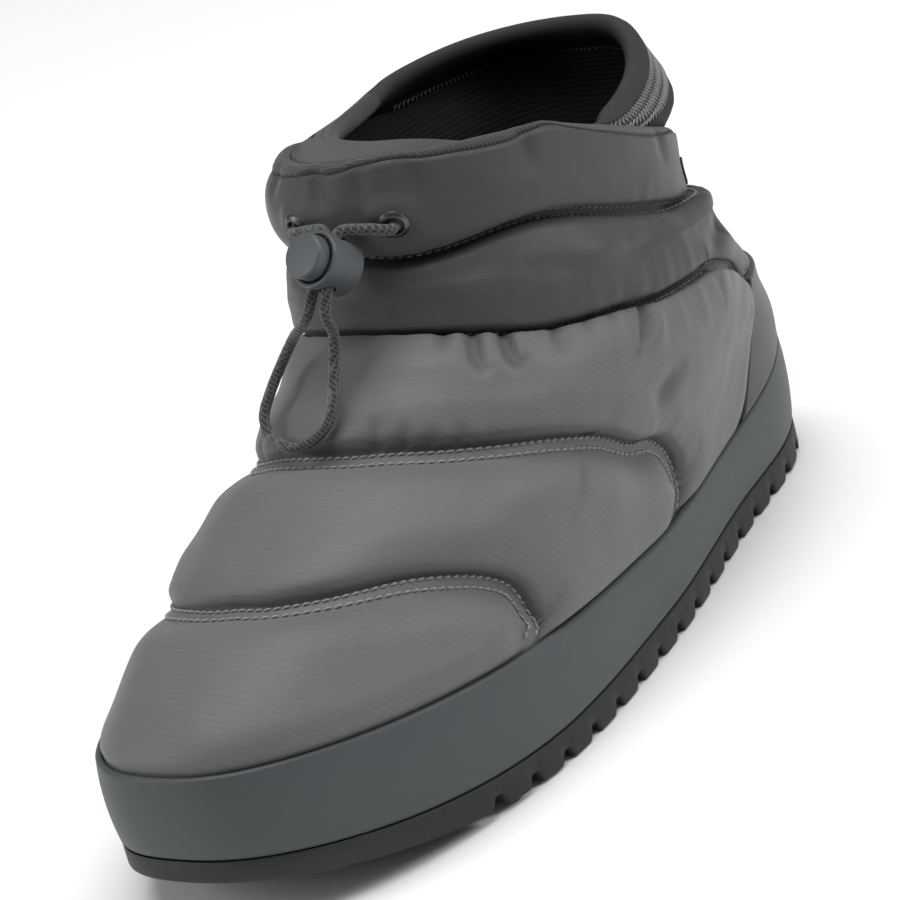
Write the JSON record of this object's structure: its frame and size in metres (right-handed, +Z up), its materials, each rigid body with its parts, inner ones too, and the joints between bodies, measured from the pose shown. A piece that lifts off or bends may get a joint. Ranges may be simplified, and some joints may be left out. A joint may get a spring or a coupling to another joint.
{
  "type": "sneaker boot",
  "caption": "Left slip-on sneaker boot with a quilted padded upper, cup sole with barred tread, inner knit cuff and a collar drawcord with a press cord lock.",
  "frame": {"origin": "centre of the footprint at floor level, under the tread bars", "axes": "+X from heel to toe, +Y to the outer (lateral) side, +Z up"},
  "size_m": [0.2992, 0.109, 0.154],
  "materials": {
    "outsole_rubber": "matte moulded rubber",
    "midsole_foam": "smooth matte foam",
    "insole_cloth": "matte cloth",
    "quilted_nylon": "satin woven nylon",
    "cuff_neoprene": "matte knit",
    "counter_suede": "brushed suede",
    "label_weave": "plain woven tape",
    "eyelet_metal": "dark coated metal",
    "lock_plastic": "matte moulded",
    "drawcord_braid": "braided"
  },
  "bodies": {
    "boot": {"outsole": "outsole_rubber", "midsole": "midsole_foam", "insole": "insole_cloth", "upper": "quilted_nylon", "inner_cuff": "cuff_neoprene", "heel_counter": "counter_suede", "back_label": "label_weave", "eyelet_lateral": "eyelet_metal", "eyelet_medial": "eyelet_metal", "cord_lock_barrel": "lock_plastic", "drawcord_lateral": "drawcord_braid", "drawcord_medial": "drawcord_braid", "drawcord_loop": "drawcord_braid"},
    "lock_button": {"cord_lock_button": "lock_plastic"}
  },
  "joints": [
    {"name": "lock_press", "type": "slide", "parent": "boot", "child": "lock_button", "axis": [-0.7929, 0.122, -0.597], "range_m": [0, 0.0025], "stiffness_N_per_m": 350}
  ]
}
